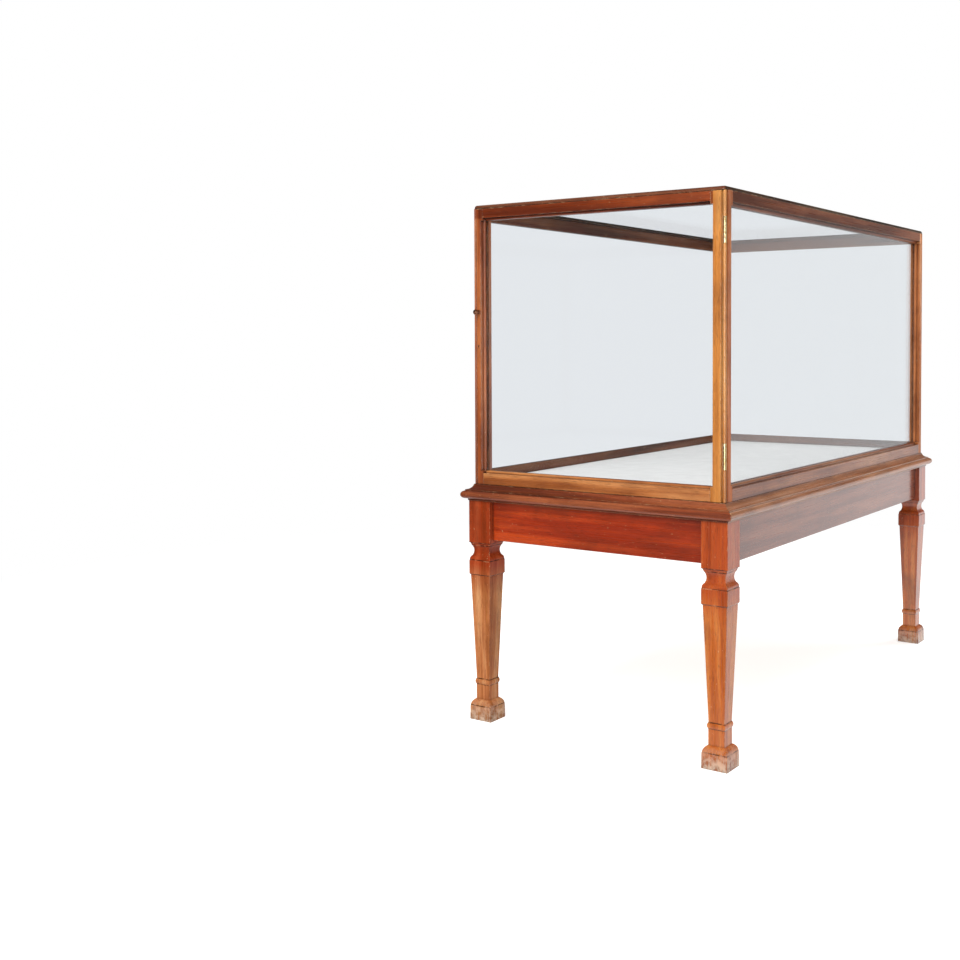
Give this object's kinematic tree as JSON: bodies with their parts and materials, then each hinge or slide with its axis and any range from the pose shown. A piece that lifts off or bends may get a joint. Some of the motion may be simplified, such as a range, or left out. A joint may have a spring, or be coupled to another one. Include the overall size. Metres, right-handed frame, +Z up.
{
  "type": "glazed display table",
  "caption": "Glazed mahogany display case on moulded square legs, with a hinged, locking glass door at one end and a glass top, for showing a collection.",
  "frame": {"origin": "floor level, under the middle of the table", "axes": "+Z up, +X along the length, the door at the -X end, -Y the long side shown in front"},
  "size_m": [1.596, 0.781, 1.372],
  "materials": {
    "mahogany": "french polished, worn on the edges",
    "carcase_pine": "bare planed softwood",
    "lining_card": "matt off-white lining",
    "case_glass": "clear polished sheet",
    "hinge_brass": "lightly tarnished",
    "lock_brass": "dull, aged",
    "knob_bronze": "dark bronzed, rubbed on the head"
  },
  "bodies": {
    "cabinet": {"apron_back": "mahogany", "apron_front": "mahogany", "apron_left": "mahogany", "apron_right": "mahogany", "base_moulding_back": "mahogany", "base_moulding_front": "mahogany", "base_moulding_left": "mahogany", "base_moulding_right": "mahogany", "bottom_rail_back": "mahogany", "bottom_rail_front": "mahogany", "bottom_rail_right": "mahogany", "corner_braces": "carcase_pine", "deck_bearer_left": "carcase_pine", "deck_bearer_right": "carcase_pine", "deck_board": "carcase_pine", "deck_lining": "lining_card", "door_head": "mahogany", "door_sill": "mahogany", "glass_back": "case_glass", "glass_front": "case_glass", "glass_right": "case_glass", "glass_top": "case_glass", "hinge_lower_pin": "hinge_brass", "hinge_lower_post_leaf": "hinge_brass", "hinge_upper_pin": "hinge_brass", "hinge_upper_post_leaf": "hinge_brass", "leg_back_left": "mahogany", "leg_back_right": "mahogany", "leg_front_left": "mahogany", "leg_front_right": "mahogany", "post_back_left": "mahogany", "post_back_right": "mahogany", "post_front_left": "mahogany", "post_front_right": "mahogany", "strike_plate": "lock_brass", "top_frame_back": "mahogany", "top_frame_front": "mahogany", "top_frame_left": "mahogany", "top_frame_right": "mahogany", "top_rail_back": "mahogany", "top_rail_front": "mahogany", "top_rail_right": "mahogany"},
    "door": {"door_hanging_stile": "mahogany", "door_lock_stile": "mahogany", "door_bottom_rail": "mahogany", "door_top_rail": "mahogany", "door_glass": "case_glass", "door_glass_beads": "mahogany", "hinge_lower_door_leaf": "hinge_brass", "hinge_upper_door_leaf": "hinge_brass", "door_knob": "knob_bronze", "knob_rose": "knob_bronze", "lock_case": "lock_brass"},
    "lock_bolt": {"lock_bolt": "lock_brass"}
  },
  "joints": [
    {"name": "door_swing", "type": "hinge", "parent": "cabinet", "child": "door", "pos_m": [-0.766, -0.3585, 0.997], "axis": [0, 0, 1], "range_deg": [0, 170]},
    {"name": "bolt_throw", "type": "slide", "parent": "door", "child": "lock_bolt", "axis": [0, 1, 0], "range_m": [0, 0.005]}
  ]
}
